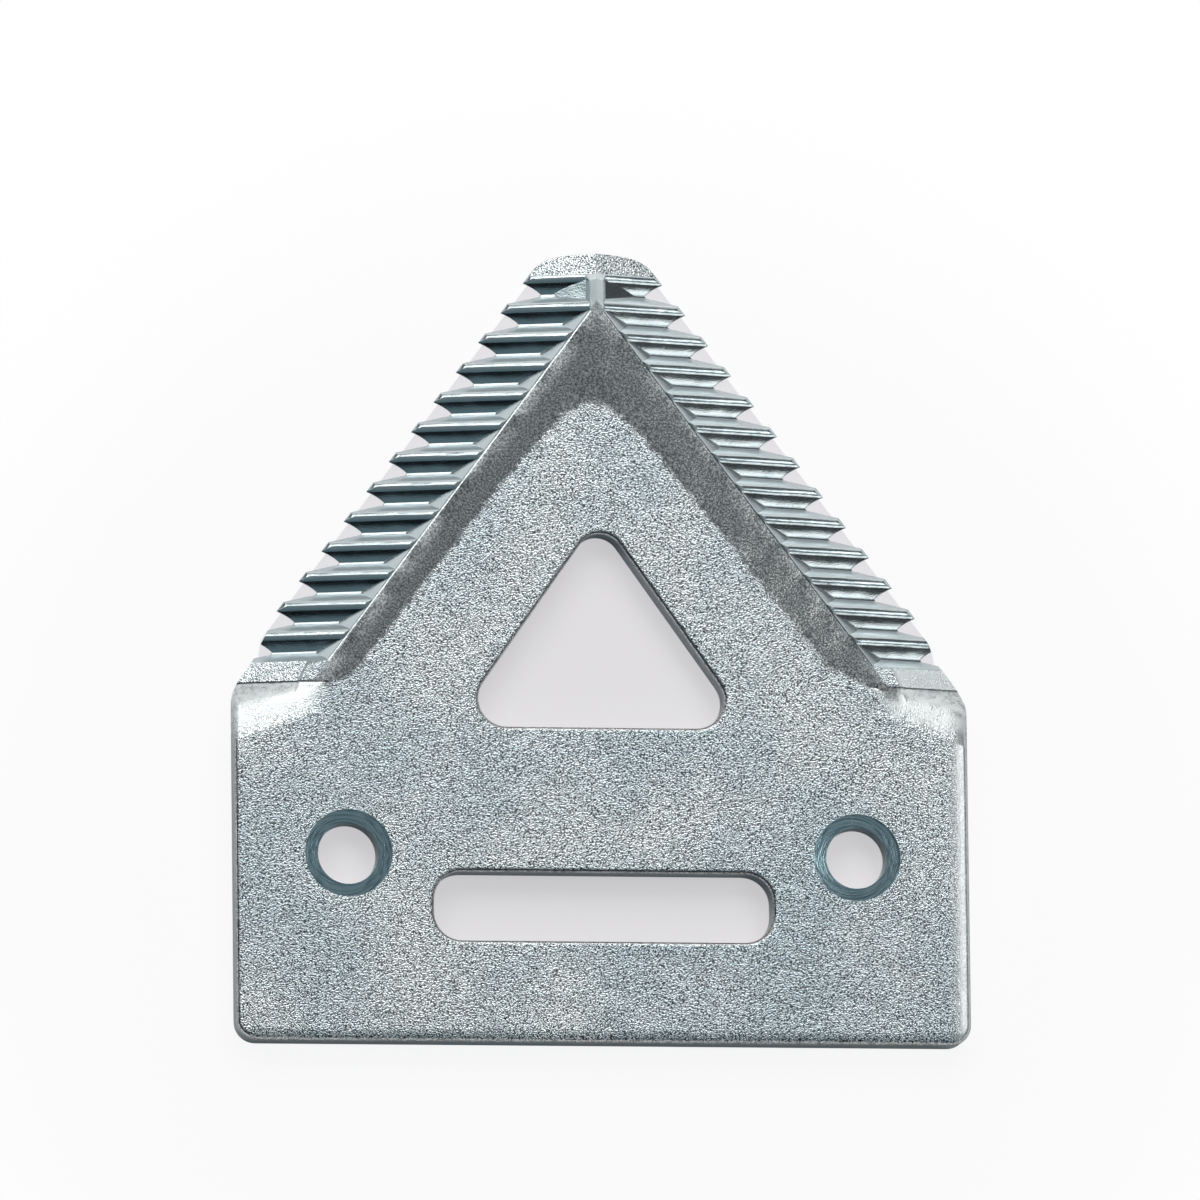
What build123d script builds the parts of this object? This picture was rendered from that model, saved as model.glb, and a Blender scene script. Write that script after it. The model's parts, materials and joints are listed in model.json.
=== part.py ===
from build123d import *
import os
from math import cos, radians, sin, tan

# Serrated knife section for a mower or combine cutter bar: one forged and punched steel plate.
# Millimetres and degrees. The origin is midway between the bolt holes, on the underside.
# X runs along the line of the holes, Y points at the tip, and the serrated face looks up.

# Plate
plate_width = 76.2
plate_thickness = 3.0
holes_to_back_edge = 19.4
holes_to_tip = 62.9
back_corner_radius = 2.2
rim_radius = 0.5

# Cutting edges, seen from above. Each runs at this angle from the centre line.
edge_half_angle = 36.95
tip_width = 10.86
tip_crown = 0.5
tip_corner_radius = 4.1
shoulder_inset = 1.15
shoulder_corner_radius = 5.0

# Bevel that carries the serrations, from a narrow land at the cutting edge upwards
bevel_angle = 20.8
edge_land = 0.2
edge_round_radius = 1.5
edge_round_turn = 25.0

# Serrations: grooves parallel to X, each a V with a gentle side towards the back
groove_pitch = 3.14
groove_depth = 1.03
floor_width = 0.22
crest_width = 0.62
back_flank_run = 1.35
back_flank_hollow = 0.08
crest_radius = 0.7
floor_radius = 0.12
groove_end_angle = 45.0
groove_reach = 7.2
tip_to_first_groove = 4.24
spine_width = 1.3
spine_wall_angle = 70.0
first_groove_end_angle = 27.0
first_groove_end_drop = 0.82
serration_margin = 3.6

# Bare bevel at the tip, and the flat between the last groove and the heel
tip_facet_drop = 0.12
tip_facet_wall_angle = 45.0
heel_wall_rise = 0.7
heel_wall_angle = 48.0
heel_wall_radius = 2.4
shoulder_flat_width = 4.8
shoulder_wall_plan_angle = 28.0
shoulder_wall_angle = 76.0

# Smooth band between the serrations and the middle of the plate
band_reach = 11.2
band_slope = 3.0
band_flare_start = 20.6
band_flare_angle = 63.0
band_past_heel_wall = 0.5
band_rim_radius = 0.45

# Triangular window
window_height = 20.1
window_to_holes = 13.3
window_half_angle = 35.2
window_top_radius = 2.5
window_bottom_radius = 2.9

# Slot behind the window
slot_length = 35.2
slot_width = 7.1
slot_centre = -5.35
slot_end_radius = 2.9

# Bolt holes
bolt_spacing = 52.8
bolt_hole_diameter = 6.3
recess_diameter = 9.0
recess_depth = 0.5

# Lines and heights worked out from the sizes above
half_width = plate_width / 2
edge_sine = sin(radians(edge_half_angle))
edge_cosine = cos(radians(edge_half_angle))
edge_tangent = tan(radians(edge_half_angle))
bevel_rise = tan(radians(bevel_angle))
line_apex = holes_to_tip - tip_crown + tip_width / 2 / edge_tangent
shoulder_apex = line_apex - shoulder_inset / edge_sine
shoulder_corner = shoulder_apex - half_width / edge_tangent
heel_wall = shoulder_corner + heel_wall_rise
heel_wall_reach = plate_thickness / tan(radians(heel_wall_angle))
front_flank_run = groove_pitch - floor_width - crest_width - back_flank_run
first_groove = holes_to_tip - tip_to_first_groove
groove_count = int((first_groove - shoulder_corner - serration_margin) / groove_pitch) + 1
last_groove = first_groove - (groove_count - 1) * groove_pitch
serration_end = last_groove - floor_width / 2 - front_flank_run
serration_top = first_groove + floor_width / 2 + back_flank_run + crest_width

window_apex = (
    window_to_holes
    + window_height
    + window_top_radius * (1 / sin(radians(window_half_angle)) - 1)
)

# Cutters stand this far clear of what they cut, and the widest one covers the whole plate
clearance = 2.0
cutter_top = plate_thickness + half_width * edge_cosine * bevel_rise + clearance
plate_cover = 4 * plate_width
same_point = 0.001


def tooth_line(y, apex=line_apex):
    """Half width at height y of the straight line that runs down from an apex."""
    return (apex - y) * edge_tangent


def inward(x, y):
    """Distance in plan from the line of the tooth tips, on the +X side."""
    return (line_apex - y) * edge_sine - x * edge_cosine


def bevel_height(y, x=0.0):
    """Height of the bevel that the crests of the teeth lie on."""
    return edge_land + inward(x, y) * bevel_rise


def corners_at(found, points):
    """The vertices of a profile that lie at the given points."""
    return [
        corner
        for corner in found
        if min((Vector(*corner) - Vector(*point)).length for point in points) < same_point
    ]


# Cutters on the +X side are drawn in the YZ plane and run outwards down the bevel.
side_profile = Plane(origin=(0, 0, 0), x_dir=(0, 1, 0), z_dir=(1, 0, 0))
down_bevel = Vector(1, 0, -edge_cosine * bevel_rise)
down_bevel_length = down_bevel.length * (half_width + clearance)

# The grooves end inwards on one slanted plane, where the bevel meets the smooth band.
groove_end_height = plate_thickness - (band_reach - groove_reach) * tan(radians(band_slope))
groove_end_rise = tan(radians(groove_end_angle))
groove_end = Plane(
    origin=(tooth_line(0) - groove_reach / edge_cosine, 0, groove_end_height),
    z_dir=(edge_cosine * groove_end_rise, edge_sine * groove_end_rise, 1),
)
spine_wall = Plane(
    origin=(spine_width / 2, 0, plate_thickness),
    z_dir=(sin(radians(spine_wall_angle)), 0, cos(radians(spine_wall_angle))),
)
# The first groove runs up to the spine on a flatter plane of its own.
first_groove_end = Plane(
    origin=(spine_width / 2, 0, plate_thickness - first_groove_end_drop),
    z_dir=(sin(radians(first_groove_end_angle)), 0, cos(radians(first_groove_end_angle))),
)

with BuildPart() as serration_cutter:
    with BuildSketch(side_profile):
        crest_corners = []
        floor_corners = []
        with BuildLine():
            top_corner = (serration_top, bevel_height(serration_top))
            groove_start = top_corner
            for number in range(groove_count):
                floor_middle = first_groove - number * groove_pitch
                floor_front = floor_middle + floor_width / 2
                floor_back = floor_middle - floor_width / 2
                crest_back = floor_front + back_flank_run
                next_crest = floor_back - front_flank_run
                crest_corner = (crest_back, bevel_height(crest_back))
                floor_start = (floor_front, bevel_height(floor_front) - groove_depth)
                floor_end = (floor_back, bevel_height(floor_back) - groove_depth)
                next_corner = (next_crest, bevel_height(next_crest))
                Line(groove_start, crest_corner)
                SagittaArc(crest_corner, floor_start, back_flank_hollow)
                Line(floor_start, floor_end)
                crest_corners.append(crest_corner)
                floor_corners.extend([floor_start, floor_end])
                if number < groove_count - 1:
                    Line(floor_end, next_corner)
                    crest_corners.append(next_corner)
                    groove_start = next_corner
            flank_slope = (next_corner[1] - floor_end[1]) / (next_corner[0] - floor_end[0])
            flank_top = (floor_end[0] + (cutter_top - floor_end[1]) / flank_slope, cutter_top)
            Polyline(floor_end, flank_top, (serration_top, cutter_top), top_corner)
        make_face()
        fillet(corners_at(vertices(), crest_corners), radius=crest_radius)
        fillet(corners_at(vertices(), floor_corners), radius=floor_radius)
    extrude(amount=down_bevel_length, dir=down_bevel)
    for groove_limit in (groove_end, spine_wall, first_groove_end):
        split(bisect_by=groove_limit, keep=Keep.TOP)

with BuildPart() as tip_cutter:
    facet_back = serration_top
    facet_front = holes_to_tip + clearance
    wall_run = cutter_top / tan(radians(tip_facet_wall_angle))
    tip_profile = side_profile.offset(-tip_width)
    with BuildSketch(tip_profile):
        with BuildLine():
            back_height = bevel_height(facet_back, -tip_width) - tip_facet_drop
            front_height = bevel_height(facet_front, -tip_width) - tip_facet_drop
            Polyline(
                (facet_back, back_height),
                (facet_front, front_height),
                (facet_front, back_height + cutter_top),
                (facet_back - wall_run, back_height + cutter_top),
                close=True,
            )
        make_face()
    extrude(amount=down_bevel.length * 2 * tip_width, dir=down_bevel)

with BuildPart() as shoulder_cutter:
    with BuildSketch(side_profile):
        with BuildLine():
            wall_run = (cutter_top - bevel_height(heel_wall)) / tan(radians(heel_wall_angle))
            Polyline(
                (serration_end, bevel_height(serration_end)),
                (heel_wall, bevel_height(heel_wall)),
                (heel_wall - wall_run, cutter_top),
                (serration_end, cutter_top),
                close=True,
            )
        make_face()
    extrude(amount=down_bevel_length, dir=down_bevel)
    inner_x = tooth_line(heel_wall) - (shoulder_inset + shoulder_flat_width) / edge_cosine
    plan_angle = radians(shoulder_wall_plan_angle)
    wall_angle = radians(shoulder_wall_angle)
    shoulder_wall = Plane(
        origin=(inner_x, heel_wall, bevel_height(heel_wall, inner_x)),
        z_dir=(cos(plan_angle) * sin(wall_angle), sin(plan_angle) * sin(wall_angle), cos(wall_angle)),
    )
    split(bisect_by=shoulder_wall, keep=Keep.TOP)

with BuildPart() as band_cutter:
    slope = radians(band_slope)
    band_plane = Plane(
        origin=(tooth_line(0) - band_reach / edge_cosine, 0, plate_thickness),
        z_dir=(edge_cosine * sin(slope), edge_sine * sin(slope), cos(slope)),
    )
    with BuildSketch(band_plane):
        Rectangle(plate_cover, plate_cover)
    extrude(amount=plate_thickness)
    # The band narrows and runs out at the heel, where its inner line turns outwards.
    flare = radians(band_flare_angle)
    flare_x = tooth_line(band_flare_start) - band_reach / edge_cosine
    band_flare = Plane(
        origin=(flare_x, band_flare_start, plate_thickness),
        z_dir=(cos(flare) * sin(slope), sin(flare) * sin(slope), cos(slope)),
    )
    band_end = Plane(origin=(0, heel_wall - band_past_heel_wall, 0), z_dir=(0, 1, 0))
    for band_limit in (band_flare, band_end):
        split(bisect_by=band_limit, keep=Keep.TOP)

# The bevel rolls over to a steeper slope just before the cutting edge.
with BuildPart() as edge_round_cutter:
    edge_profile = Plane(
        origin=(0, line_apex, edge_land),
        x_dir=(edge_cosine, edge_sine, 0),
        z_dir=(edge_sine, -edge_cosine, 0),
    )
    with BuildSketch(edge_profile):
        with BuildLine():
            steepest = radians(bevel_angle + edge_round_turn)
            roll_start = -edge_round_radius * (sin(steepest) - sin(radians(bevel_angle)))
            edge_arc = CenterArc(
                (
                    -edge_round_radius * sin(steepest),
                    -roll_start * bevel_rise - edge_round_radius * cos(radians(bevel_angle)),
                ),
                edge_round_radius,
                90 - bevel_angle,
                -edge_round_turn,
            )
            Polyline(edge_arc @ 1, (0, cutter_top), (roll_start, cutter_top), edge_arc @ 0)
        make_face()
    extrude(amount=plate_width, both=True)

# The rim where the band turns down into the groove ends is rounded, tangent to both planes.
with BuildPart() as band_rim_cutter:
    rim_turn = band_plane.z_dir.get_angle(groove_end.z_dir)
    rim_reach = band_rim_radius * tan(radians(rim_turn / 2))
    along_rim = groove_end.z_dir.cross(band_plane.z_dir)
    rim_profile = Plane(
        origin=band_plane.intersect(groove_end).position,
        x_dir=band_plane.z_dir.cross(along_rim),
        z_dir=along_rim,
    )
    with BuildSketch(rim_profile):
        with BuildLine():
            rim_arc = CenterArc((-rim_reach, -band_rim_radius), band_rim_radius, 90, -rim_turn)
            Polyline(
                rim_arc @ 1,
                ((rim_arc @ 1).X, clearance),
                (-rim_reach, clearance),
                rim_arc @ 0,
            )
        make_face()
    extrude(amount=plate_width, both=True)
    split(bisect_by=Plane(origin=(spine_width / 2, 0, 0), z_dir=(1, 0, 0)), keep=Keep.TOP)
    split(bisect_by=Plane(origin=(0, serration_end, 0), z_dir=(0, 1, 0)), keep=Keep.TOP)

with BuildPart() as sickle_section:
    # Blank: the punched outline at full thickness, with its upper rim rolled over
    with BuildSketch():
        with BuildLine():
            back_edge = -holes_to_back_edge
            relief_top = last_groove + groove_pitch + floor_width / 2 + back_flank_run
            tip_corner = (tip_width / 2, holes_to_tip - tip_crown)
            Polyline(
                (0, back_edge),
                (half_width, back_edge),
                (half_width, shoulder_corner),
                (tooth_line(serration_end, shoulder_apex), serration_end),
                (tooth_line(relief_top), relief_top),
                tip_corner,
            )
            mirror(about=Plane.YZ)
            ThreePointArc(tip_corner, (0, holes_to_tip), (-tip_corner[0], tip_corner[1]))
        make_face()
        shoulders = [(half_width, shoulder_corner), (-half_width, shoulder_corner)]
        fillet(vertices().group_by(Axis.Y)[0], radius=back_corner_radius)
        fillet(corners_at(vertices(), shoulders), radius=shoulder_corner_radius)
        fillet(vertices().group_by(Axis.Y)[-1], radius=tip_corner_radius)
        with BuildLine():
            window_foot = (window_apex - window_to_holes) * tan(radians(window_half_angle))
            window_corners = [(-window_foot, window_to_holes), (window_foot, window_to_holes)]
            Polyline(*window_corners, (0, window_apex), close=True)
        make_face(mode=Mode.SUBTRACT)
        fillet(corners_at(vertices(), [(0, window_apex)]), radius=window_top_radius)
        fillet(corners_at(vertices(), window_corners), radius=window_bottom_radius)
        with Locations((0, slot_centre)):
            RectangleRounded(slot_length, slot_width, slot_end_radius, mode=Mode.SUBTRACT)
    extrude(amount=plate_thickness)
    add(shoulder_cutter.part, mode=Mode.SUBTRACT)
    mirror(shoulder_cutter.part, about=Plane.YZ, mode=Mode.SUBTRACT)
    top_edges = faces().filter_by(Axis.Z).sort_by(Axis.Z)[-1].edges()
    wall_tops = top_edges.filter_by_position(Axis.Y, heel_wall - heel_wall_reach, heel_wall)
    fillet(wall_tops.sort_by(SortBy.LENGTH)[-2:], radius=heel_wall_radius)
    fillet(faces().filter_by(Axis.Z).sort_by(Axis.Z)[-1].edges(), radius=rim_radius)

    # Smooth band, bare bevels and serrations on both sides
    for cutter in (
        band_cutter,
        band_rim_cutter,
        tip_cutter,
        edge_round_cutter,
        serration_cutter,
    ):
        add(cutter.part, mode=Mode.SUBTRACT)
        mirror(cutter.part, about=Plane.YZ, mode=Mode.SUBTRACT)

    # Bolt holes, each with a shallow flat recess machined around it
    with Locations(
        (-bolt_spacing / 2, 0, plate_thickness),
        (bolt_spacing / 2, 0, plate_thickness),
    ):
        CounterBoreHole(bolt_hole_diameter / 2, recess_diameter / 2, recess_depth)

sickle_section.part.label = "sickle_section"

os.makedirs("parts", exist_ok=True)
export_step(sickle_section.part, "parts/sickle_section.step")
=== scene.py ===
"""Finish, floor, light and camera for a serrated knife section of a mower's cutter bar."""
import json
import math
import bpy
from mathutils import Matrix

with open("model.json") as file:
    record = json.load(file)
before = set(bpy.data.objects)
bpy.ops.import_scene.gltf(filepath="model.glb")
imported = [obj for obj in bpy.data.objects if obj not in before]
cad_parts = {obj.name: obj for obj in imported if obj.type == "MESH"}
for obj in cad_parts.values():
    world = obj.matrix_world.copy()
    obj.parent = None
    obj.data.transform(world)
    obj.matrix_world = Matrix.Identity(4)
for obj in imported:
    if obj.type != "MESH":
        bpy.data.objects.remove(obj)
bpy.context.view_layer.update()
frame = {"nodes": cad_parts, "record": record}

from types import SimpleNamespace

import bpy
from bpy.props import FloatProperty, FloatVectorProperty, PointerProperty
from mathutils import Matrix, Vector

bl_info = {
    "name": "Knife Section",
    "version": (1, 0, 0),
    "blender": (4, 5, 0),
    "location": "View3D > Sidebar > Knife Section",
    "description": "Zinc-plated finish and studio stage for a cutter bar's knife section",
    "category": "Object",
}

MM = 0.001
PLATE = "sickle_section"
MOUNTS = {mount["name"]: mount for mount in frame["record"]["mounts"]}

# Lines on the plate, in millimetres and radians, as the solid has them
HALF_WIDTH = 38.1
BACK_OVERHANG = 19.4
EDGE_ANGLE = math.radians(36.95)
EDGE_APEX = 69.62
GROOVE_REACH = 7.2
SERRATIONS_BACK = 19.92
SERRATIONS_FRONT = 60.74
SPINE_WIDTH = 1.3
HEEL_WALL = 17.76
RECESS_RADIUS = 4.5
HOLE_SPACING = MOUNTS["bolt_holes"]["dims"]["spacing_x_mm"]

# Where the pressed band gives way to the blasted middle
BAND_ANGLE = math.radians(37.4)
BAND_APEX = 51.5
BAND_NOSE = 3.5
BAND_SHIFT = 0.65
BAND_BACK = (16.9, 15.4)
BAND_WANDER = 1.2
FLARE_ANGLE = math.radians(63.0)
FLARE_POINT = (27.2, 18.0)

# How far a region takes to pass into the next, in millimetres, and how far the whitening beside
# the grooves, partly wear and partly painted sheen, reaches
FADE = 0.1
REACH_FADE = 0.2
SPINE_FADE = 0.15
RECESS_FADE = (0.06, -0.02)
BESIDE_REACH = 2.2

# Ranges of a part of the surface's normal over which it counts as level, as upright, or as
# turned to the tip or to the right
LEVEL = (0.8, 0.98)
UPRIGHT = (0.3, 0.1)
TO_TIP = (0.4, 0.6)
TO_RIGHT = (0.1, 0.25)

# Soft roll-offs. The heels roll from a slanted line, side * HEEL_SLANT + y = HEEL_LINE,
# and the right and back rims over strips of these widths
HEEL_SLANT = 0.35
HEEL_LINE = 24.9
# The heels are smoothed by rubbing and painted with a highlight between these values of the
# slanted line
HEEL_RUB_AND_HIGHLIGHT = (24.1, 27.5)
HEEL_SIDE = (27.5, 31.5)
RIGHT_STRIP = 2.1
BACK_STRIP = 1.4
RIGHT_CURVE = 0.24
BACK_CURVE = 0.6
ROLL_SLOPE = -0.28
# The right rim is smoothed by rubbing and painted with a highlight over this distance from its
# edge
RIGHT_RUB_AND_HIGHLIGHT = (2.6, 0.6)

# Patterns: the size of one lump in millimetres, and how high the lumps stand. One grain
# takes this many cells of its noise
GRAIN_CELLS = 1.45
RAGGED_LUMP = 2 / 3
TOOTH_LUMP = 2 / 11
TOOTH_HEIGHTS = (0.012, 0.008)
WAVE_LUMP = 10 / 3
WAVE_HEIGHT = 0.09
STREAK_STRETCH = 0.08
STREAK_HEIGHT = 0.006
RING_DRIFT = 0.12
RING_HEIGHT = 0.02
DISH_SLOPE = 0.04
CLOUD_LUMP = 100 / 7
EDGE_SOFTNESS = 0.06

# Parts of each noise, which runs from 0 to 1 about a mean of 0.5, that a pattern fades over
RAGGED_RANGE = (0.4, 0.6)
WAVE_RANGE = (0.4, 0.6)
CLOUD_RANGE = (0.25, 0.75)
PIT_RANGE = (0.36, 0.5)
SPECK_RANGE = (0.4, 0.62)
RING_RANGE = (0.38, 0.55)

# Shares of the grain that stay or go, and of the smoothing and painted highlight on the heels and
# the right rim
FACET_GRAIN = 0.9
HEEL_GRAIN_LOST = 0.65
HEEL_RUB_AND_HIGHLIGHT_LEAST = 0.55
RIGHT_RUB_AND_HIGHLIGHT_MOST = 0.85

# Wear and painted light, where 0 is bright plate and 1 is fully whitened. The whitening paints
# highlights and sheen on the heels, the right rim, the flanks and the facets, and stands partly
# for wear beside the grooves and for wear on the spine. The facets' sheen falls along the edge,
# and the whitening beside the grooves is thinner on the right: it is partly a painted sheen,
# lighter on the left where more light falls
# Painted sheen on the flanks that face the tip and the right
TIP_FLANK_SHEEN = 0.45
RIGHT_FLANK_SHEEN = 0.15
# Painted sheen on the facets: more towards the shoulders, and more on those facing right
FACET_SHEEN_SPAN = (24.0, 54.0)
FACET_SHEEN = (0.9, 0.05)
LEFT_FACET_SHARE = 0.25
SPINE_WEAR = 0.6
# Painted highlight on the right rim
RIGHT_RIM_HIGHLIGHT = 0.6
# Beside the grooves: partly patches of wear, partly painted sheen, lighter on the left where more
# light falls
PATCH_WEAR_AND_SHEEN = (0.4, 0.9)
BAND_SIDES = (4.0, -4.0)
RIGHT_BAND_SHARE = 0.4

# Roughness of bright plate, of blasted plate and what full wear and painted sheen add, and the
# metal it takes
BRIGHT_ROUGHNESS = 0.15
BLASTED_ROUGHNESS = 0.24
WEAR_AND_SHEEN_ROUGHNESS = 0.22
WEAR_AND_SHEEN_METAL = -0.65

# The photograph's frame: pixels, pixels per millimetre, middle in millimetres and lean
IMAGE_SIDE = 1200
IMAGE_SCALE = 9.593
IMAGE_MIDDLE = (0.396, 26.97, 0)
CAMERA_LEAN = 0.156
CAMERA_DISTANCE = 2.0

# Floor: radius and rise of its rings in metres. It lies under the sheet of painted shade, and
# both just under the plate, by these drops in millimetres
FLOOR_RINGS = ((0.5, 0.0), (2.6, 0.0), (2.8, 0.3))
FLOOR_SIDES = 64
FLOOR_DROP = 0.02
FLOOR_GLOW = 0.9
FLOOR_REACH = 0.045

# Sheet of painted shade, greyer than the floor and partly glowing at its own colour, seen in the
# openings and between the teeth: right half of its outline in millimetres, from the back to the
# tip
SHADE_SHEET_SIDE = ((36, -17), (36, 16), (35.4, 19.5), (34.9, 22.4), (5.2, 61.9))
SHADE_SHEET_DROP = 0.01
SHADE_SHEET_GLOW = 0.6
SHADE_SHEET_REACH = 10.0

# Softboxes: name, azimuth from +X and tilt from the zenith in degrees, size in metres, watts
SOFTBOXES = (
    ("tip_softbox", 86, 48, 0.52, 0.42, 2.0),
    ("left_softbox", 140, 51, 0.33, 0.27, 0.60),
    ("right_softbox", -36, 52, 0.16, 0.12, 0.13),
    ("crest_softbox", 14, 36, 0.15, 0.28, 0.33),
)
LAMP_AIM = Vector((0, 0.02, 0))
LAMP_DISTANCE = 0.6

# Studio: where its zones fade in, by the part of the direction that points up, and for the
# backdrop also by the part that points ahead, along +Y
UPPER_WALLS_UP = (0.54, 0.72)
CEILING_UP = (0.80, 0.95)
BACKDROP_UP = (0.28, 0.12)
BACKDROP_AHEAD = (0.3, 0.55)


def linear(hex_colour):
    """Turns an sRGB hex colour into linear red, green and blue."""
    parts = [int(hex_colour[start:start + 2], 16) / 255 for start in (1, 3, 5)]
    return tuple(p / 12.92 if p <= 0.04045 else ((p + 0.055) / 1.055) ** 2.4 for p in parts)


def opaque(colour):
    """Gives a colour the alpha that colour sockets ask for."""
    return (*colour, 1)


def add(tree, kind, inputs=None, output=0, **settings):
    """Adds a node, sets its properties, fills or links its inputs and gives back one output."""
    node = tree.nodes.new("ShaderNode" + kind)
    for name, value in settings.items():
        setattr(node, name, value)
    for key, value in (inputs or {}).items():
        if isinstance(value, bpy.types.NodeSocket):
            tree.links.new(value, node.inputs[key])
        else:
            node.inputs[key].default_value = value
    return node.outputs[output] if node.outputs else node


def colour_property(name, description, hex_colour):
    """Colour of a PropertyGroup, from its sRGB hex value."""
    return FloatVectorProperty(
        name=name, description=description, default=linear(hex_colour),
        subtype="COLOR", min=0, max=1,
    )


def length_property(name, description, millimetres):
    """Length of a PropertyGroup, from millimetres."""
    return FloatProperty(
        name=name, description=description, default=millimetres * MM,
        subtype="DISTANCE", unit="LENGTH", min=0, precision=5,
    )


class KnifeSectionFinish(bpy.types.PropertyGroup):
    """Colours and grain of the plated steel."""

    blast: colour_property("Blasted zinc", "Zinc where the grit has dulled it", "#EAEFF0")
    blued: colour_property("Blued zinc", "Zinc under a thicker passivation", "#CFDBE2")
    # Painted shade: the hollows of the blasting grain are darkened, for the shade and glitter of
    # the grit's marks
    pit_shade: colour_property("Pits", "Zinc in the pits left by the grit", "#3A4140")
    groove: colour_property("Grooves", "Zinc in the grooves, under a bluer passivation", "#BECACE")
    band: colour_property("Band", "Zinc on the pressed band", "#E8E9E8")
    specks: colour_property("Specks", "Fine dark specks on the pressed band", "#848686")
    # Painted highlights and sheen, with some wear: white on the heels, the right rim, the flanks,
    # the facets and beside the grooves
    haze_and_sheen: colour_property("Haze", "Thin white haze on worn zinc", "#EFF4F5")
    recess: colour_property("Recess", "Zinc on the machined recesses, slightly bluer", "#A8C4CD")
    # The tool rings are real; their darker tone is painted shade, for how the rings catch the
    # light
    chatter_shade: colour_property("Chatter", "Dark rings left by the cutter's chatter", "#7E98A2")
    # Painted shade: the upright walls are darker
    wall_shade: colour_property("Sheared walls", "Thinner zinc on the sheared walls", "#C4C9CB")
    grain: length_property("Blasting grain", "Distance between ridges left by the grit", 0.2)
    grain_depth: length_property("Grain depth", "Height of the ridges left by the grit", 0.1)
    streak: length_property("Die streaks", "Distance between the streaks in the grooves", 0.12)
    ring: length_property("Tool rings", "Feed of the cutter that faced the recesses", 0.14)


class KnifeSectionStage(bpy.types.PropertyGroup):
    """Floor, sheet of painted shade and studio."""

    floor: colour_property("Floor", "Matt white table top", "#F6F5F6")
    # Painted shade: a greyer sheet under the plate, darker than the floor
    shade_sheet: colour_property("Paper", "Sheet under the plate, seen through its openings", "#F0EDF0")
    lamps: colour_property("Lamps", "Softboxes", "#FFFEFB")
    ceiling: colour_property("Ceiling", "Dim studio ceiling", "#868C8F")
    upper_walls: colour_property("Upper walls", "Studio walls below the ceiling", "#697C83")
    walls: colour_property("Walls", "Dark studio walls", "#0F1114")


def empty_tree(owner):
    """Turns on the nodes of a material or a world and gives back its emptied tree."""
    owner.use_nodes = True
    owner.node_tree.nodes.clear()
    return owner.node_tree


def find_place(tree):
    """Where a point lies on the plate, in millimetres, and which way the surface faces there."""
    place = add(tree, "TexCoord", output="Object")
    at = SimpleNamespace()
    at.mm = add(tree, "VectorMath", {0: place, "Scale": 1 / MM}, operation="SCALE")
    at.x = add(tree, "SeparateXYZ", {0: at.mm}, output="X")
    at.y = at.x.node.outputs["Y"]
    at.side = add(tree, "Math", {0: at.x}, operation="ABSOLUTE")
    at.plan = add(tree, "CombineXYZ", {"X": at.side, "Y": at.y})
    slant = add(tree, "TexCoord", output="Normal")
    at.faces = add(tree, "SeparateXYZ", {0: slant}).node.outputs
    return at


def mark_bevels(tree, at, on):
    """Masks of the bevels: their grooves, their plain facets and the spine between them."""
    across = add(tree, "VectorMath",
                 {0: at.plan, 1: (-math.cos(EDGE_ANGLE), -math.sin(EDGE_ANGLE), 0)},
                 output="Value", operation="DOT_PRODUCT")
    on.inward = add(tree, "Math", {0: across, 1: EDGE_APEX * math.sin(EDGE_ANGLE)},
                    operation="ADD")
    outward = add(tree, "MapRange", {"Value": on.inward, "From Min": GROOVE_REACH + REACH_FADE,
                                     "From Max": GROOVE_REACH - REACH_FADE})
    on.below_heel = add(tree, "MapRange", {"Value": at.y, "From Min": HEEL_WALL + FADE,
                                           "From Max": HEEL_WALL - FADE})
    above_heel = add(tree, "Math", {0: 1.0, 1: on.below_heel}, operation="SUBTRACT")
    on.bevelled = add(tree, "Math", {0: outward, 1: above_heel}, operation="MULTIPLY")
    past_back = add(tree, "MapRange", {"Value": at.y, "From Min": SERRATIONS_BACK - FADE,
                                       "From Max": SERRATIONS_BACK + FADE})
    before_front = add(tree, "MapRange", {"Value": at.y, "From Min": SERRATIONS_FRONT + FADE,
                                          "From Max": SERRATIONS_FRONT - FADE})
    in_rows = add(tree, "Math", {0: past_back, 1: before_front}, operation="MULTIPLY")
    off_spine = add(tree, "MapRange", {"Value": at.side, "From Min": SPINE_WIDTH / 2,
                                       "From Max": SPINE_WIDTH / 2 + SPINE_FADE})
    rows = add(tree, "Math", {0: on.bevelled, 1: in_rows}, operation="MULTIPLY")
    on.coined = add(tree, "Math", {0: rows, 1: off_spine}, operation="MULTIPLY")
    on.facets = add(tree, "Math", {0: on.bevelled, 1: rows}, operation="SUBTRACT")
    on.spine = add(tree, "Math", {0: rows, 1: on.coined}, operation="SUBTRACT")
    off_bevel = add(tree, "Math", {0: 1.0, 1: outward}, operation="SUBTRACT")
    on.off_heel = add(tree, "Math", {0: off_bevel, 1: above_heel}, operation="MULTIPLY")


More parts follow.
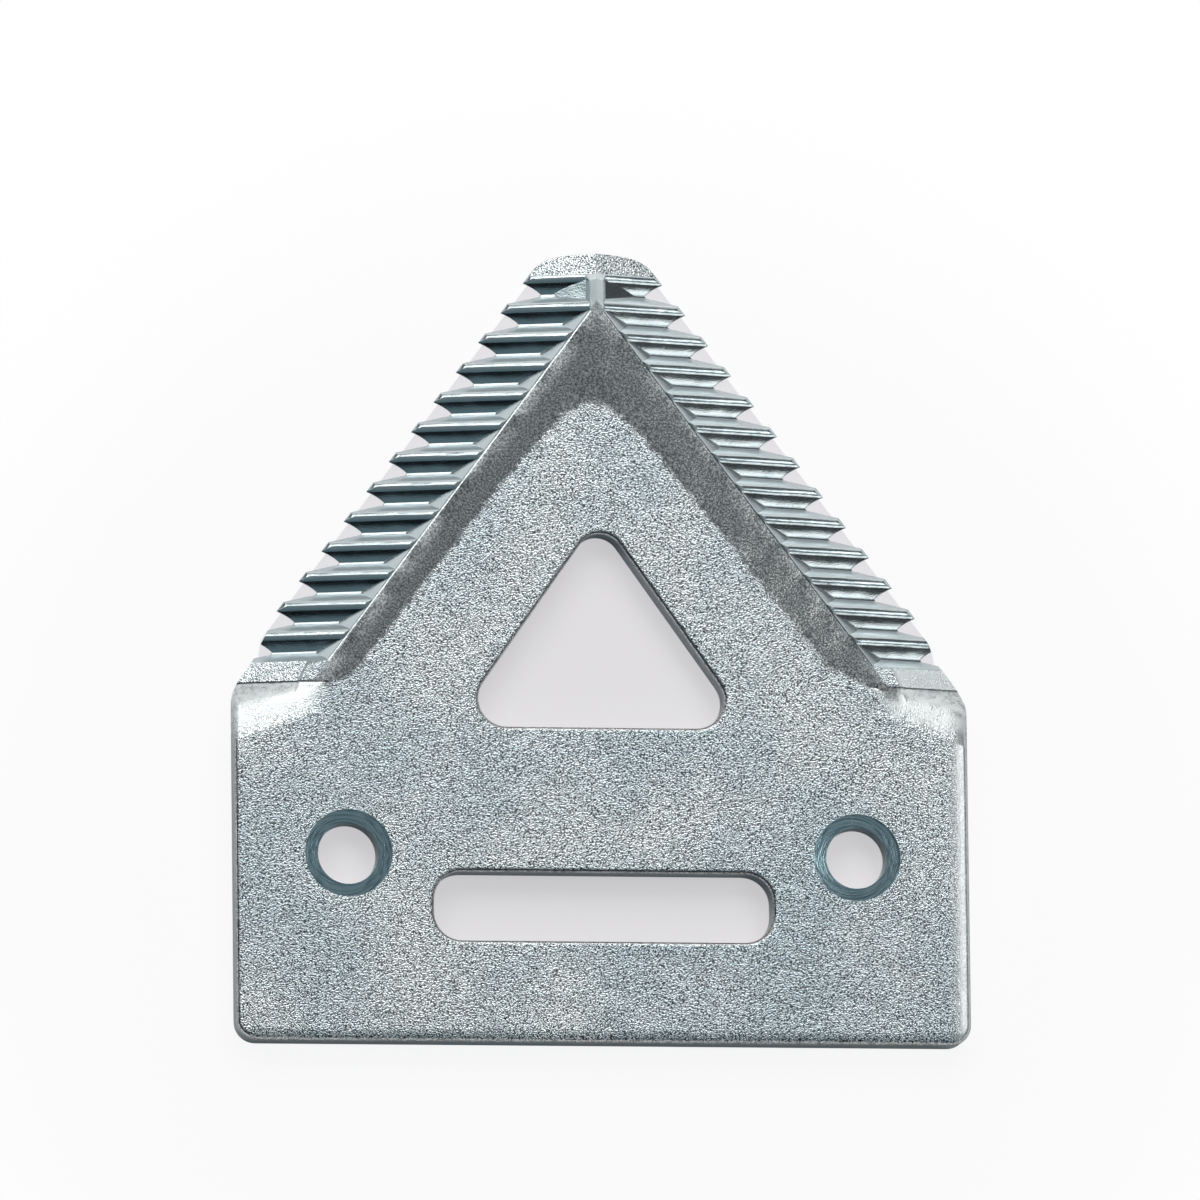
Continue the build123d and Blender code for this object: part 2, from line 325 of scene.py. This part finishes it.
def mark_middle(tree, at, on):
    """Masks of the faced recesses and of the blasted middle, with its ragged border.

    The border has a round nose at the tip, two straight sides, and flares out at the heels.
    """
    shifted = add(tree, "Math", {0: at.x, 1: BAND_SHIFT}, operation="ADD")
    nose = add(tree, "CombineXYZ", {"X": shifted, "Y": BAND_NOSE})
    spread = add(tree, "VectorMath", {0: nose}, output="Value", operation="LENGTH")
    nosed = add(tree, "CombineXYZ", {"X": spread, "Y": at.y})
    sides = add(tree, "VectorMath",
                {0: nosed, 1: (-math.cos(BAND_ANGLE), -math.sin(BAND_ANGLE), 0)},
                output="Value", operation="DOT_PRODUCT")
    inside = add(tree, "Math", {0: sides, 1: BAND_APEX * math.sin(BAND_ANGLE)}, operation="ADD")
    from_flare = add(tree, "VectorMath", {0: (*FLARE_POINT, 0), 1: at.plan}, operation="SUBTRACT")
    below_flare = add(tree, "VectorMath",
                      {0: from_flare, 1: (math.cos(FLARE_ANGLE), math.sin(FLARE_ANGLE), 0)},
                      output="Value", operation="DOT_PRODUCT")
    within = add(tree, "Math", {0: inside, 1: below_flare}, operation="MAXIMUM")
    on.ragged = add(tree, "TexNoise", {"Vector": at.mm, "Scale": 1 / RAGGED_LUMP, "Detail": 3.0})
    border = add(tree, "Math", {0: on.ragged, 1: BAND_WANDER, 2: within},
                 operation="MULTIPLY_ADD")
    middle = add(tree, "MapRange", {"Value": border, "From Min": 0.0, "From Max": BAND_WANDER},
                 interpolation_type="SMOOTHSTEP")
    level = add(tree, "MapRange", {"Value": at.faces["Z"], "From Min": LEVEL[0],
                                   "From Max": LEVEL[1]}, interpolation_type="SMOOTHSTEP")
    past_band = add(tree, "MapRange", {"Value": at.y, "From Min": BAND_BACK[0],
                                       "From Max": BAND_BACK[1]},
                    interpolation_type="SMOOTHSTEP")
    behind = add(tree, "Math", {0: level, 1: past_band}, operation="MULTIPLY")
    level_middle = add(tree, "Math", {0: level, 1: middle}, operation="MULTIPLY")
    on.from_hole = add(tree, "VectorMath", {0: at.plan, 1: (HOLE_SPACING / 2, 0, 0)},
                       output="Value", operation="DISTANCE")
    on.faced = add(tree, "MapRange", {"Value": on.from_hole,
                                      "From Min": RECESS_RADIUS + RECESS_FADE[0],
                                      "From Max": RECESS_RADIUS + RECESS_FADE[1]})
    unfaced = add(tree, "Math", {0: 1.0, 1: on.faced}, operation="SUBTRACT")
    struck = add(tree, "Math", {0: level_middle, 1: behind}, operation="MAXIMUM")
    on.blasted = add(tree, "Math", {0: struck, 1: unfaced}, operation="MULTIPLY")


def roll_heels(tree, at, on):
    """The plate rolls off gently towards the heels, is smoothed by rubbing there, and gets a
    painted highlight there.
    """
    outer = add(tree, "MapRange", {"Value": at.side, "From Min": HEEL_SIDE[0],
                                   "From Max": HEEL_SIDE[1]}, interpolation_type="SMOOTHSTEP")
    slanted = add(tree, "Math", {0: at.side, 1: HEEL_SLANT, 2: at.y}, operation="MULTIPLY_ADD")
    by_heel = add(tree, "MapRange", {"Value": slanted, "From Min": HEEL_RUB_AND_HIGHLIGHT[0],
                                     "From Max": HEEL_RUB_AND_HIGHLIGHT[1]}, interpolation_type="SMOOTHSTEP")
    outer_heel = add(tree, "Math", {0: outer, 1: on.below_heel}, operation="MULTIPLY")
    ragged_heel = add(tree, "MapRange", {"Value": on.ragged, "From Min": RAGGED_RANGE[0],
                                         "From Max": RAGGED_RANGE[1],
                                         "To Min": HEEL_RUB_AND_HIGHLIGHT_LEAST})
    whole_heel = add(tree, "Math", {0: outer_heel, 1: by_heel}, operation="MULTIPLY")
    on.heel_rub = add(tree, "Math", {0: whole_heel, 1: ragged_heel}, operation="MULTIPLY")
    past_line = add(tree, "Math", {0: slanted, 1: HEEL_LINE}, operation="SUBTRACT")
    roll = add(tree, "Math", {0: past_line, 1: 0.0}, operation="MAXIMUM")
    return add(tree, "Math", {0: roll, 1: outer_heel}, operation="MULTIPLY")


def roll_rims(tree, at, on):
    """The right and back rims roll off over narrower strips, and the right one is smoothed by
    rubbing too and gets a painted highlight.
    """
    heel_drop = roll_heels(tree, at, on)
    from_right = add(tree, "Math", {0: HALF_WIDTH, 1: at.x}, operation="SUBTRACT")
    past_right = add(tree, "Math", {0: RIGHT_STRIP, 1: from_right}, operation="SUBTRACT")
    right_strip = add(tree, "Math", {0: past_right, 1: 0.0}, operation="MAXIMUM")
    right_roll = add(tree, "Math", {0: right_strip, 1: right_strip}, operation="MULTIPLY")
    right_drop = add(tree, "Math", {0: right_roll, 1: on.below_heel}, operation="MULTIPLY")
    from_back = add(tree, "Math", {0: at.y, 1: BACK_OVERHANG}, operation="ADD")
    past_back = add(tree, "Math", {0: BACK_STRIP, 1: from_back}, operation="SUBTRACT")
    back_strip = add(tree, "Math", {0: past_back, 1: 0.0}, operation="MAXIMUM")
    back_roll = add(tree, "Math", {0: back_strip, 1: back_strip}, operation="MULTIPLY")
    sides_drop = add(tree, "Math", {0: right_drop, 1: RIGHT_CURVE, 2: heel_drop},
                     operation="MULTIPLY_ADD")
    by_right = add(tree, "MapRange", {"Value": from_right, "From Min": RIGHT_RUB_AND_HIGHLIGHT[0],
                                      "From Max": RIGHT_RUB_AND_HIGHLIGHT[1], "To Max": RIGHT_RUB_AND_HIGHLIGHT_MOST},
                   interpolation_type="SMOOTHSTEP")
    on.rim_rub = add(tree, "Math", {0: by_right, 1: on.below_heel}, operation="MULTIPLY")
    return add(tree, "Math", {0: back_roll, 1: BACK_CURVE, 2: sides_drop},
               operation="MULTIPLY_ADD")


def raise_patterns(tree, finish, at, on):
    """Heights of the blasting grain, tooth, waves, streaks and rings, in millimetres."""
    on.grain = add(tree, "TexNoise", {"Vector": at.mm, "Scale": GRAIN_CELLS * MM / finish.grain,
                                      "Detail": 0.5, "Roughness": 0.5, "Distortion": 0.3})
    ridge = add(tree, "Math", {0: on.grain, 1: 0.5}, operation="SUBTRACT")
    most_rub = add(tree, "Math", {0: on.heel_rub, 1: HEEL_GRAIN_LOST}, operation="MULTIPLY")
    any_rub = add(tree, "Math", {0: most_rub, 1: on.rim_rub}, operation="MAXIMUM")
    rub_left = add(tree, "Math", {0: 1.0, 1: any_rub}, operation="SUBTRACT")
    on.share = add(tree, "Math", {0: on.blasted, 1: rub_left}, operation="MULTIPLY")
    on.grained = add(tree, "Math", {0: on.facets, 1: FACET_GRAIN, 2: on.share},
                     operation="MULTIPLY_ADD")
    grain_height = add(tree, "Math", {0: ridge, 1: on.grained}, operation="MULTIPLY")
    depth = add(tree, "Math", {0: grain_height, 1: finish.grain_depth / MM}, operation="MULTIPLY")

    # Fine tooth of the pressed band
    on.tooth = add(tree, "TexNoise", {"Vector": at.mm, "Scale": 1 / TOOTH_LUMP, "Detail": 2.0,
                                      "Roughness": 0.6})
    tooth_height = add(tree, "MapRange", {"Value": on.coined, "To Min": TOOTH_HEIGHTS[0],
                                          "To Max": TOOTH_HEIGHTS[1]})
    with_tooth = add(tree, "Math", {0: on.tooth, 1: tooth_height, 2: depth},
                     operation="MULTIPLY_ADD")

    # The band is not quite flat, so its sheen comes and goes
    on.waves = add(tree, "TexNoise", {"Vector": at.mm, "Scale": 1 / WAVE_LUMP, "Detail": 1.0})
    with_waves = add(tree, "Math", {0: on.waves, 1: WAVE_HEIGHT, 2: with_tooth},
                     operation="MULTIPLY_ADD")

    # Streaks that the die drew along the grooves
    along = add(tree, "VectorMath", {0: at.mm, 1: (STREAK_STRETCH, 1.0, 1.0)},
                operation="MULTIPLY")
    streaks = add(tree, "TexNoise", {"Vector": along, "Scale": MM / finish.streak, "Detail": 2.0})
    streak_height = add(tree, "Math", {0: streaks, 1: on.coined}, operation="MULTIPLY")
    with_streaks = add(tree, "Math", {0: streak_height, 1: STREAK_HEIGHT, 2: with_waves},
                       operation="MULTIPLY_ADD")

    # Rings of the facing cutter in the recesses, which dish slightly towards their holes
    drift = add(tree, "VectorMath", {0: at.mm, "Scale": RING_DRIFT}, operation="SCALE")
    radius = add(tree, "CombineXYZ", {"X": on.from_hole})
    turned = add(tree, "VectorMath", {0: drift, 1: radius}, operation="ADD")
    on.rings = add(tree, "TexNoise", {"Vector": turned, "Scale": MM / finish.ring, "Detail": 2.0})
    ring_height = add(tree, "Math", {0: on.rings, 1: on.faced}, operation="MULTIPLY")
    with_rings = add(tree, "Math", {0: ring_height, 1: RING_HEIGHT, 2: with_streaks},
                     operation="MULTIPLY_ADD")
    dished = add(tree, "Math", {0: on.from_hole, 1: RECESS_RADIUS}, operation="MINIMUM")
    return add(tree, "Math", {0: dished, 1: DISH_SLOPE, 2: with_rings},
               operation="MULTIPLY_ADD")


def wear_and_sheen_on_plate(tree, at, on):
    """How far the plate is whitened, for wear and for painted light: painted sheen on the flanks
    and facets, wear and painted sheen beside the grooves, wear on the spine, and painted
    highlights on the heels and the right rim.
    """
    # Beside the grooves the band is whitened in patches: partly wear, partly painted sheen where
    # it meets the grooves, painted lighter on the left
    beside = add(tree, "MapRange", {"Value": on.inward, "From Min": GROOVE_REACH + BESIDE_REACH,
                                    "From Max": GROOVE_REACH - REACH_FADE},
                 interpolation_type="SMOOTHSTEP")
    patchy = add(tree, "MapRange", {"Value": on.waves, "From Min": WAVE_RANGE[0],
                                    "From Max": WAVE_RANGE[1]})
    beside_patches = add(tree, "Math", {0: beside, 1: patchy}, operation="MULTIPLY")
    band_edge = add(tree, "Math", {0: beside_patches, 1: on.off_heel}, operation="MULTIPLY")
    patches = add(tree, "MapRange", {"Value": on.speckle, "To Min": PATCH_WEAR_AND_SHEEN[0],
                                     "To Max": PATCH_WEAR_AND_SHEEN[1]})
    left_most = add(tree, "MapRange", {"Value": at.x, "From Min": BAND_SIDES[0],
                                       "From Max": BAND_SIDES[1],
                                       "To Min": RIGHT_BAND_SHARE, "To Max": 1.0})
    hazy_patches = add(tree, "Math", {0: patches, 1: left_most}, operation="MULTIPLY")
    rubbed_and_sheen_edge = add(tree, "Math", {0: band_edge, 1: hazy_patches}, operation="MULTIPLY")
    worn_spine = add(tree, "Math", {0: on.spine, 1: SPINE_WEAR}, operation="MULTIPLY")
    rubbed_and_sheen_tops = add(tree, "Math", {0: rubbed_and_sheen_edge, 1: worn_spine}, operation="MAXIMUM")
    # Painted highlight on the right rim, as whitening
    painted_rim_highlight = add(tree, "Math", {0: on.rim_rub, 1: RIGHT_RIM_HIGHLIGHT}, operation="MULTIPLY")
    # Painted highlight on the heels, as whitening
    painted_corner_highlights = add(tree, "Math", {0: painted_rim_highlight, 1: on.heel_rub}, operation="MAXIMUM")
    rubbed_and_lit = add(tree, "Math", {0: rubbed_and_sheen_tops, 1: painted_corner_highlights}, operation="MAXIMUM")

    # Painted sheen: the flanks are whitened where they face the tip or the right, and the facets
    # more where they face the right
    to_tip = add(tree, "MapRange", {"Value": at.faces["Y"], "From Min": TO_TIP[0],
                                    "From Max": TO_TIP[1]})
    to_right = add(tree, "MapRange", {"Value": at.faces["X"], "From Min": TO_RIGHT[0],
                                      "From Max": TO_RIGHT[1]})
    tip_flank_sheen = add(tree, "Math", {0: to_tip, 1: TIP_FLANK_SHEEN}, operation="MULTIPLY")
    right_flank_sheen = add(tree, "Math", {0: to_right, 1: RIGHT_FLANK_SHEEN, 2: tip_flank_sheen},
                     operation="MULTIPLY_ADD")
    painted_flank_sheen = add(tree, "Math", {0: right_flank_sheen, 1: on.coined}, operation="MULTIPLY")
    # Painted sheen on the facets, falling from the shoulders towards the tip
    along_edge = add(tree, "MapRange", {"Value": at.y, "From Min": FACET_SHEEN_SPAN[0],
                                        "From Max": FACET_SHEEN_SPAN[1],
                                        "To Min": FACET_SHEEN[0], "To Max": FACET_SHEEN[1]})
    by_side = add(tree, "MapRange", {"Value": to_right, "To Min": LEFT_FACET_SHARE,
                                     "To Max": 1.0})
    facet_sheen_share = add(tree, "Math", {0: along_edge, 1: by_side}, operation="MULTIPLY")
    painted_facet_sheen = add(tree, "Math", {0: facet_sheen_share, 1: on.facets}, operation="MULTIPLY")
    painted_bevel_sheen = add(tree, "Math", {0: painted_flank_sheen, 1: painted_facet_sheen}, operation="MAXIMUM")
    return add(tree, "Math", {0: painted_bevel_sheen, 1: rubbed_and_lit}, operation="MAXIMUM")


def colour_zinc(tree, finish, at, on):
    """Colour of the plate: painted shade darkens the hollows of the grain, the tool rings in the
    recesses and the upright walls, and the grooves and recesses are bluer.
    """
    clouds = add(tree, "TexNoise", {"Vector": at.mm, "Scale": 1 / CLOUD_LUMP, "Detail": 2.0})
    cloudy = add(tree, "MapRange", {"Value": clouds, "From Min": CLOUD_RANGE[0],
                                    "From Max": CLOUD_RANGE[1]},
                 interpolation_type="SMOOTHSTEP")
    zinc = add(tree, "Mix", {0: cloudy, 6: opaque(finish.blast), 7: opaque(finish.blued)},
               output=2, data_type="RGBA")
    # Painted shade in the hollows of the grain, where its noise is low
    out_of_pits = add(tree, "MapRange", {"Value": on.grain, "From Min": PIT_RANGE[0],
                                         "From Max": PIT_RANGE[1]})
    grain_colour = add(tree, "Mix", {0: out_of_pits, 6: opaque(finish.pit_shade), 7: zinc}, output=2,
                       data_type="RGBA")
    on.speckle = add(tree, "MapRange", {"Value": on.tooth, "From Min": SPECK_RANGE[0],
                                        "From Max": SPECK_RANGE[1]})
    on_band = add(tree, "Mix", {0: on.speckle, 6: opaque(finish.specks), 7: opaque(finish.band)},
                  output=2, data_type="RGBA")
    on_groove = add(tree, "Mix", {0: on.bevelled, 6: on_band, 7: opaque(finish.groove)},
                    output=2, data_type="RGBA")
    on_middle = add(tree, "Mix", {0: on.grained, 6: on_groove, 7: grain_colour}, output=2,
                    data_type="RGBA")
    # Painted shade on the tool rings in the recesses
    ringed = add(tree, "MapRange", {"Value": on.rings, "From Min": RING_RANGE[0],
                                    "From Max": RING_RANGE[1]})
    on_recess = add(tree, "Mix", {0: ringed, 6: opaque(finish.chatter_shade), 7: opaque(finish.recess)},
                    output=2, data_type="RGBA")
    on_top = add(tree, "Mix", {0: on.faced, 6: on_middle, 7: on_recess}, output=2,
                 data_type="RGBA")
    # Painted shade: upright walls are darkened
    upright = add(tree, "MapRange", {"Value": at.faces["Z"], "From Min": UPRIGHT[0],
                                     "From Max": UPRIGHT[1]})
    return add(tree, "Mix", {0: upright, 6: on_top, 7: opaque(finish.wall_shade)}, output=2,
               data_type="RGBA")


def plated_steel(finish):
    """Bright zinc plate on forged steel: blasted, coined, pressed and machined regions.

    The plate keeps the steel's own surface, so the eye gets glitter where the grit struck,
    crisp reflections in the coined grooves and a dull sheen on the pressed band. A white mix
    paints highlights and sheen on the heels, the right rim, the flanks and the facets, beside
    some wear, and painted shade darkens the hollows of the grain, the tool rings and the
    upright walls.
    """
    material = bpy.data.materials.new("zinc_plated_steel")
    tree = empty_tree(material)
    at = find_place(tree)
    on = SimpleNamespace()
    mark_bevels(tree, at, on)
    mark_middle(tree, at, on)
    drop = roll_rims(tree, at, on)
    relief = raise_patterns(tree, finish, at, on)
    height = add(tree, "Math", {0: drop, 1: ROLL_SLOPE, 2: relief}, operation="MULTIPLY_ADD")
    soft_edges = add(tree, "Bevel", {"Radius": EDGE_SOFTNESS * MM}, samples=4)
    normal = add(tree, "Bump", {"Strength": 1.0, "Distance": MM, "Height": height,
                                "Normal": soft_edges})

    colour = colour_zinc(tree, finish, at, on)
    # Painted highlights and sheen, with some wear, whiten the colour and lower the metal
    wear_and_sheen = wear_and_sheen_on_plate(tree, at, on)
    with_haze_and_sheen = add(tree, "Mix", {0: wear_and_sheen, 6: colour, 7: opaque(finish.haze_and_sheen)}, output=2,
               data_type="RGBA")
    clean = add(tree, "MapRange", {"Value": on.share, "To Min": BRIGHT_ROUGHNESS,
                                   "To Max": BLASTED_ROUGHNESS})
    roughness = add(tree, "Math", {0: wear_and_sheen, 1: WEAR_AND_SHEEN_ROUGHNESS, 2: clean},
                    operation="MULTIPLY_ADD")
    metallic = add(tree, "Math", {0: wear_and_sheen, 1: WEAR_AND_SHEEN_METAL, 2: 1.0}, operation="MULTIPLY_ADD")
    steel = add(tree, "BsdfPrincipled", {"Base Color": with_haze_and_sheen, "Metallic": metallic,
                                         "Roughness": roughness, "Normal": normal})
    add(tree, "OutputMaterial", {"Surface": steel})
    return material


class KNIFESECTION_OT_finish(bpy.types.Operator):
    """Give the plate its plated finish"""

    bl_idname = "knife_section.finish"
    bl_label = "Plate finish"

    def execute(self, context):
        plate = frame["nodes"][PLATE]
        plate.material_slots[0].material = plated_steel(context.scene.knife_section_finish)
        return {"FINISHED"}


def matt(name, colour, glow_colour, own_light, reach):
    """Matt surface, helped by its own light near the part, and all glow beyond the reach."""
    material = bpy.data.materials.new(name)
    tree = empty_tree(material)
    place = add(tree, "TexCoord", output="Object")
    away = add(tree, "VectorMath", {0: place}, output="Value", operation="LENGTH")
    rays = add(tree, "LightPath").node.outputs
    close = add(tree, "Math", {0: rays["Is Camera Ray"], 1: own_light}, operation="MULTIPLY")
    glow_share = add(tree, "MapRange", {"Value": away, "From Min": reach, "From Max": 2 * reach,
                                        "To Min": close, "To Max": 1.0},
                     interpolation_type="SMOOTHSTEP")
    seen = add(tree, "Math", {0: rays["Is Camera Ray"], 1: rays["Is Glossy Ray"]},
               operation="MAXIMUM")
    watched = add(tree, "Math", {0: seen, 1: rays["Is Transmission Ray"]}, operation="MAXIMUM")
    share = add(tree, "Math", {0: glow_share, 1: watched}, operation="MULTIPLY")
    sheet = add(tree, "BsdfDiffuse", {"Color": opaque(colour)})
    glow = add(tree, "Emission", {"Color": opaque(glow_colour), "Strength": 1.0})
    mixed = add(tree, "MixShader", {0: share, 1: sheet, 2: glow})
    add(tree, "OutputMaterial", {"Surface": mixed})
    return material


def lay_down(name, points, faces, drop, material):
    """Adds a flat mesh of the stage, lying the drop below the plate."""
    mesh = bpy.data.meshes.new(name)
    mesh.from_pydata(points, [], faces)
    mesh.materials.append(material)
    lain = bpy.data.objects.new(name, mesh)
    lain.location.z = -drop * MM
    bpy.context.scene.collection.objects.link(lain)
    return lain


def lay_floor(stage):
    """Matt painted table top, round and raised at its rim: an even ground with a soft shadow."""
    points = [(0, 0, 0)]
    faces = []
    for number, (radius, rise) in enumerate(FLOOR_RINGS):
        for step in range(FLOOR_SIDES):
            angle = 2 * math.pi * step / FLOOR_SIDES
            points.append((radius * math.cos(angle), radius * math.sin(angle), rise))
            here = 1 + number * FLOOR_SIDES + step
            after = 1 + number * FLOOR_SIDES + (step + 1) % FLOOR_SIDES
            if number == 0:
                faces.append((0, here, after))
            else:
                faces.append((here - FLOOR_SIDES, here, after, after - FLOOR_SIDES))
    table_top = matt("matt_table", stage.floor, (1, 1, 1), FLOOR_GLOW, FLOOR_REACH)
    return lay_down("floor", points, faces, FLOOR_DROP, table_top)


def lay_shade_sheet(stage):
    """A greyer sheet under the plate, cut so that it shows only in the openings and between the
    teeth:
    painted shade, darker than the white floor around the plate, and partly glowing at its own
    colour."""
    left = [(-px, py) for px, py in reversed(SHADE_SHEET_SIDE)]
    points = [(px * MM, py * MM, 0) for px, py in (*SHADE_SHEET_SIDE, *left)]
    sheet = matt("matt_shade_sheet", stage.shade_sheet, stage.shade_sheet, SHADE_SHEET_GLOW, SHADE_SHEET_REACH)
    return lay_down("shade_sheet", points, [tuple(range(len(points)))], SHADE_SHEET_DROP, sheet)


def hang_softbox(name, azimuth, tilt, width, depth, power, colour):
    """Hangs a rectangular lamp in the given direction from the aim, facing it."""
    lamp = bpy.data.lights.new(name, "AREA")
    lamp.shape = "RECTANGLE"
    lamp.size = width
    lamp.size_y = depth
    lamp.energy = power
    lamp.color = colour
    holder = bpy.data.objects.new(name, lamp)
    turn, lean = math.radians(azimuth), math.radians(tilt)
    away = Vector((math.cos(turn) * math.sin(lean), math.sin(turn) * math.sin(lean),
                   math.cos(lean)))
    holder.location = LAMP_AIM + away * LAMP_DISTANCE
    holder.rotation_euler = away.to_track_quat("Z", "Y").to_euler()
    bpy.context.scene.collection.objects.link(holder)


def build_studio(stage):
    """Studio for the plate to mirror: dark walls, paler upwards, and a pale backdrop ahead."""
    world = bpy.data.worlds.new("studio")
    tree = empty_tree(world)
    direction = add(tree, "TexCoord", output="Generated")
    toward = add(tree, "SeparateXYZ", {0: direction}).node.outputs
    above = add(tree, "MapRange", {"Value": toward["Z"], "From Min": UPPER_WALLS_UP[0],
                                   "From Max": UPPER_WALLS_UP[1]},
                interpolation_type="SMOOTHSTEP")
    around = add(tree, "Mix", {0: above, 6: opaque(stage.walls), 7: opaque(stage.upper_walls)},
                 output=2, data_type="RGBA")
    overhead = add(tree, "MapRange", {"Value": toward["Z"], "From Min": CEILING_UP[0],
                                      "From Max": CEILING_UP[1]},
                   interpolation_type="SMOOTHSTEP")
    room = add(tree, "Mix", {0: overhead, 6: around, 7: opaque(stage.ceiling)}, output=2,
               data_type="RGBA")
    low = add(tree, "MapRange", {"Value": toward["Z"], "From Min": BACKDROP_UP[0],
                                 "From Max": BACKDROP_UP[1]}, interpolation_type="SMOOTHSTEP")
    ahead = add(tree, "MapRange", {"Value": toward["Y"], "From Min": BACKDROP_AHEAD[0],
                                   "From Max": BACKDROP_AHEAD[1]},
                interpolation_type="SMOOTHSTEP")
    backdrop = add(tree, "Math", {0: low, 1: ahead}, operation="MULTIPLY")
    colour = add(tree, "Mix", {0: backdrop, 6: room, 7: opaque(stage.floor)}, output=2,
                 data_type="RGBA")
    background = add(tree, "Background", {"Color": colour, "Strength": 1.0})
    add(tree, "OutputWorld", {"Surface": background})
    return world


def set_camera():
    """Sets the camera over the plate, leaning back and left as the photograph's does.

    Its field shows a millimetre along +X at the photograph's scale. Seen so, +X and +Y aren't
    quite square, and the camera is turned about its axis to share that skew between them.
    """
    back = Vector((-CAMERA_LEAN, -CAMERA_LEAN, 1)).normalized()
    flat = math.sqrt(1 - back.x ** 2)
    field = IMAGE_SIDE / (IMAGE_SCALE / flat) * MM
    camera = bpy.data.cameras.new("camera")
    camera.lens = camera.sensor_width * CAMERA_DISTANCE / field
    holder = bpy.data.objects.new("camera", camera)
    up = Vector((0, 1, 0))
    up = (up - back * up.dot(back)).normalized()
    right = up.cross(back)
    skew = math.atan2(up.x, right.x) / 2
    turn = Matrix((right, up, back)).transposed().to_4x4() @ Matrix.Rotation(skew, 4, "Z")
    middle = Vector(IMAGE_MIDDLE) * MM
    holder.matrix_world = Matrix.Translation(middle + back * CAMERA_DISTANCE) @ turn
    bpy.context.scene.collection.objects.link(holder)
    bpy.context.scene.camera = holder


class KNIFESECTION_OT_stage(bpy.types.Operator):
    """Lay the floor, hang the lamps and set the camera"""

    bl_idname = "knife_section.stage"
    bl_label = "Stage"

    def execute(self, context):
        stage = context.scene.knife_section_stage
        floor = lay_floor(stage)
        # Painted shade under the plate
        shade_sheet = lay_shade_sheet(stage)
        for softbox in SOFTBOXES:
            hang_softbox(*softbox, stage.lamps)
        context.scene.world = build_studio(stage)
        set_camera()
        context.scene.view_settings.view_transform = "Standard"
        return {"FINISHED"}


class KNIFESECTION_PT_panel(bpy.types.Panel):
    """Lists the knife section's operators and values"""

    bl_label = "Knife Section"
    bl_idname = "KNIFESECTION_PT_panel"
    bl_space_type = "VIEW_3D"
    bl_region_type = "UI"
    bl_category = "Knife Section"

    def draw(self, context):
        scene = context.scene
        for settings, operator in (
            (scene.knife_section_finish, KNIFESECTION_OT_finish),
            (scene.knife_section_stage, KNIFESECTION_OT_stage),
        ):
            box = self.layout.box()
            box.operator(operator.bl_idname)
            for name in settings.__annotations__:
                box.prop(settings, name)


CLASSES = (
    KnifeSectionFinish,
    KnifeSectionStage,
    KNIFESECTION_OT_finish,
    KNIFESECTION_OT_stage,
    KNIFESECTION_PT_panel,
)


def register():
    for cls in CLASSES:
        bpy.utils.register_class(cls)
    bpy.types.Scene.knife_section_finish = PointerProperty(type=KnifeSectionFinish)
    bpy.types.Scene.knife_section_stage = PointerProperty(type=KnifeSectionStage)


def unregister():
    del bpy.types.Scene.knife_section_stage
    del bpy.types.Scene.knife_section_finish
    for cls in reversed(CLASSES):
        bpy.utils.unregister_class(cls)


def main():
    """Registers the add-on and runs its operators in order."""
    register()
    bpy.ops.knife_section.finish()
    bpy.ops.knife_section.stage()


if __name__ == "__main__":
    main()
